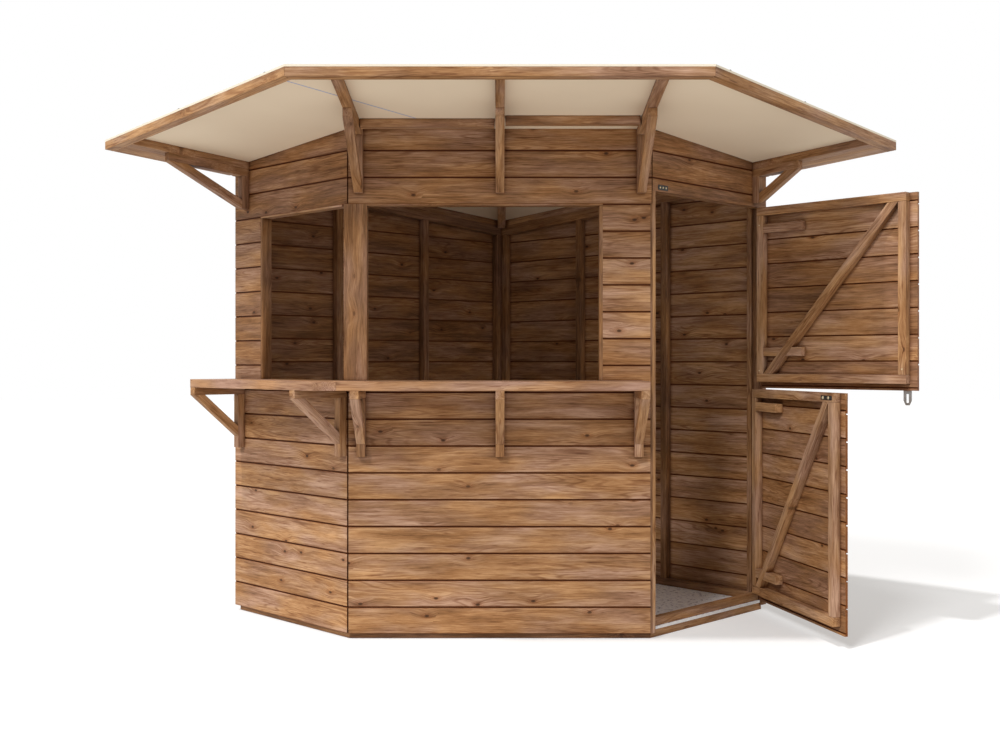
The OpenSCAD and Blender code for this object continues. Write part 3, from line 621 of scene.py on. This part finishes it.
# ---- the solids' own timbers and sheets ----
SHED_TIMBERS = ("base_rim", "base_bearers", "corner_board", "front_frame", "left_frame", "linings",
                "door_jamb_trim", "right_frame", "back_left_frame", "back_right_frame", "sills",
                "counter_posts", "counter_arms", "counter_braces", "roof_edge_battens",
                "roof_rear_battens", "roof_rails", "centre_rafter", "roof_bracket_posts",
                "roof_bracket_arms", "roof_bracket_braces")
TONES = {"corner_board": 0.15, "roof_edge_battens": 0.72, "back_left_frame": 0.1, "back_right_frame": 0.1,
         "counter_braces": 0.8, "counter_arms": 0.7, "roof_bracket_arms": 0.5, "roof_bracket_braces": 0.55}
TURNED = {"corner_board"}
for node in SHED_TIMBERS:
    timbers(node, TIMBER, "shed", tone=TONES.get(node), turned=node in TURNED)
timbers("counter_front", COUNTER, "shed", run=Vector((1, 0, 0)))
timbers("counter_left", COUNTER, "shed", run=Vector((-1, 1, 0)).normalized())
for node in ("upper_door_frame", "upper_door_blocks"):
    timbers(node, TIMBER, "upper_leaf", tone=0.8)
for node in ("lower_door_frame", "lower_door_blocks"):
    timbers(node, TIMBER, "lower_leaf", tone=0.8)
for node, material in (("roof_sheet_left", ROOF), ("roof_sheet_right", ROOF), ("floor_sheet", FLOOR),
                       ("hinge_plates", IRON), ("header_keep", IRON), ("upper_door_hinges", IRON),
                       ("lower_door_hinges", IRON), ("hasp", ZINC)):
    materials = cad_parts[node].data.materials
    materials.clear()
    materials.append(material)

# ---- small fasteners ----
DOME = ((1.0, 0.0), (0.94, 0.45), (0.62, 0.85))     # share of the radius at a share of the height


def domes(name, matrix, spots, radius, height, material, body, normal=(0, -1, 0), segments=10):
    """Low round heads at points of a wall's or a leaf's own frame."""
    bm = bmesh.new()
    out = Vector(normal)
    side = out.orthogonal().normalized()
    other = out.cross(side)
    turns = [2 * math.pi * k / segments for k in range(segments)]
    for spot in spots:
        centre = Vector(spot)
        rings = [[bm.verts.new(centre + out * (height * h)
                               + (side * math.cos(t) + other * math.sin(t)) * radius * r)
                  for t in turns] for r, h in DOME]
        top = bm.verts.new(centre + out * height)
        for low, high in zip(rings, rings[1:]):
            for k in range(segments):
                j = (k + 1) % segments
                bm.faces.new((low[k], low[j], high[j], high[k]))
        for k in range(segments):
            bm.faces.new((rings[-1][k], rings[-1][(k + 1) % segments], top))
        bm.faces.new(rings[0][::-1])
    bmesh.ops.recalc_face_normals(bm, faces=bm.faces)
    bm.transform(matrix)
    finish_mesh(name, bm, material, body, ())


# capped roofing screws on the two front side edges, and clout nails along the side and rear edges
FRONT_L, FRONT_R, TIP_R, REAR, TIP_L = [
    Vector(p) for p in ((-0.7717, -1.3631), (0.7717, -1.3631), (1.7345, -0.4002), (0.0085, 1.3258),
                        (-1.7260, -0.4087))]
ROOF_OUT = (0, ROOF_FALL, 1)


def on_roof(first, last, share, inset, sunk):
    """A point on the roof's top face, share of the way along one edge and inset from it."""
    run = last - first
    inward = Vector((-run.y, run.x)).normalized()
    spot = first.lerp(last, share) + inward * inset
    return (spot.x, spot.y, roof_z(spot.y) + ROOF_THICK - sunk)


caps = [on_roof(TIP_L, FRONT_L, share, 0.010, 0.001) for share in (0.90, 0.45)]
caps += [on_roof(FRONT_R, TIP_R, share, 0.010, 0.001) for share in (0.075, 0.455)]
clouts = [on_roof(first, last, (k + 0.5) / count, 0.022, 0.0002)
          for first, last, count in ((FRONT_R, TIP_R, 13), (TIP_R, REAR, 24), (REAR, TIP_L, 24),
                                     (TIP_L, FRONT_L, 13)) for k in range(count)]
domes("roof_caps", Matrix(), caps, 0.007, 0.0085, IRON, "shed", ROOF_OUT, 12)
domes("felt_nails", Matrix(), clouts, 0.0055, 0.0016, ZINC, "shed", ROOF_OUT, 8)

INWARD = (0, 1, 0)
RAIL_FACE = LEAF_INNER - 0.0002
CATCH_HEADS = LEAF_INNER + 0.0018
domes("keep_screws", WALL_RIGHT, [(NEAR + x, -0.0019, 1.905) for x in (0.050, 0.070, 0.090)],
      0.0045, 0.003, BRASS, "shed")
box("rail_catch", LEAF_LOW, (-0.745, LEAF_INNER - 0.0005, 1.011), (-0.660, LEAF_INNER + 0.0020, 1.0265),
    IRON, "lower_leaf", 0.0008)
domes("rail_catch_heads", LEAF_LOW, [(-0.677, CATCH_HEADS, 1.0185), (-0.721, CATCH_HEADS, 1.0190)],
      0.0068, 0.005, BRASS, "lower_leaf", INWARD)
for name, matrix, body, heights in (
        ("upper_strap_bolts", LEAF_UP, "upper_leaf", (1.213, 1.784)),
        ("lower_strap_bolts", LEAF_LOW, "lower_leaf", (0.1857, 0.958))):
    domes(name, matrix, [(-x, -0.0024, z) for z in heights for x in (0.035, 0.125, 0.215)],
          0.006, 0.0035, IRON, body)
domes("upper_frame_screws", LEAF_UP,
      [(-0.022, RAIL_FACE, 1.125), (-0.022, RAIL_FACE, 1.80), (-0.733, RAIL_FACE, 1.135)],
      0.0035, 0.0012, BRASS, "upper_leaf", INWARD)
domes("hasp_screws", LEAF_UP, [(-LEAF_END + 0.055, -0.0073, z) for z in (1.058, 1.078)],
      0.0035, 0.0012, ZINC, "upper_leaf")


def roof_tape(name, start, end, half_width):
    """A thin pale strip on the underside of the roof: painted light that shows through a crack in the sheet.
    """
    bm = bmesh.new()
    start, end = Vector(start), Vector(end)
    across = (end - start).cross(Vector((0, 0, 1))).normalized() * half_width
    corners = [start - across, start + across, end + across, end - across]
    low, high = [[bm.verts.new((c.x, c.y, roof_z(c.y) + lift)) for c in corners]
                 for lift in (-0.0004, 0.0002)]
    for k in range(4):
        j = (k + 1) % 4
        bm.faces.new((low[k], low[j], high[j], high[k]))
    bm.faces.new(low[::-1])
    bm.faces.new(high)
    bmesh.ops.recalc_face_normals(bm, faces=bm.faces)
    finish_mesh(name, bm, CRACK_LIGHT, "shed", ())


roof_tape("roof_crack_light", (-0.835, -1.252, 0), (-0.345, -0.751, 0), 0.0034)

# ---- stage: a pale floor, a white room and three soft suns ----
FLOOR_GLOW = 0.315      # added for the camera only, so that the lit floor reads as white
SKY_LIGHT = 0.44        # strength of the surroundings as light
SKY_SEEN = 0.56         # added to that where they are seen or mirrored

bpy.ops.mesh.primitive_plane_add(size=60, location=(0, 0, -0.0005))
stage_floor = bpy.context.object
stage_floor.name = "stage_floor"
mat, tree, bsdf = new_material("stage_white")
bsdf.inputs["Base Color"].default_value = (0.68, 0.68, 0.685, 1)
bsdf.inputs["Roughness"].default_value = 1.0
bsdf.inputs["Specular IOR Level"].default_value = 0.0
rays = tree.nodes.new("ShaderNodeLightPath").outputs
glow = tree.nodes.new("ShaderNodeEmission")
glow.inputs["Color"].default_value = (1, 1, 1, 1)
link(tree, times(tree, rays["Is Camera Ray"], FLOOR_GLOW), glow.inputs["Strength"])
both = tree.nodes.new("ShaderNodeAddShader")
link(tree, bsdf.outputs[0], both.inputs[0])
link(tree, glow.outputs[0], both.inputs[1])
link(tree, both.outputs[0], tree.nodes["Material Output"].inputs["Surface"])
stage_floor.data.materials.append(mat)

world = bpy.data.worlds.new("studio")
bpy.context.scene.world = world
world.use_nodes = True
tree = world.node_tree
sky = tree.nodes["Background"].inputs
rays = tree.nodes.new("ShaderNodeLightPath").outputs
seen = math_node(tree, "ADD", rays["Is Camera Ray"], rays["Is Glossy Ray"], clamp=True)
seen = math_node(tree, "ADD", seen, rays["Is Transmission Ray"], clamp=True)
link(tree, plus(tree, times(tree, seen, SKY_SEEN), SKY_LIGHT), sky["Strength"])
link(tree, mix(tree, "MIX", seen, (1.0, 0.965, 0.90), WHITE), sky["Color"])


def sun(name, direction, strength, angle):
    data = bpy.data.lights.new(name, "SUN")
    data.energy = strength
    data.angle = math.radians(angle)
    obj = bpy.data.objects.new(name, data)
    obj.rotation_euler = Vector(direction).to_track_quat("-Z", "Y").to_euler()
    bpy.context.scene.collection.objects.link(obj)


sun("key", (0.38, 0.345, -1.0), 1.75, 3)
sun("soft", (0.44, 0.66, -0.60), 1.35, 14)
sun("fill", (-0.55, 0.8, -0.30), 0.32, 30)

# the photo's camera: level, 1.168 m above the ground, in front of the middle of the shed
cam = bpy.data.cameras.new("camera")
cam.lens = 43.2
cam.sensor_width = 36
cam.shift_y = -0.0136
cam_obj = bpy.data.objects.new("camera", cam)
cam_obj.location = (0, -5.6526, 1.168)
cam_obj.rotation_euler = (math.radians(90), 0, 0)
bpy.context.scene.collection.objects.link(cam_obj)
bpy.context.scene.camera = cam_obj
bpy.context.scene.view_settings.view_transform = "Standard"
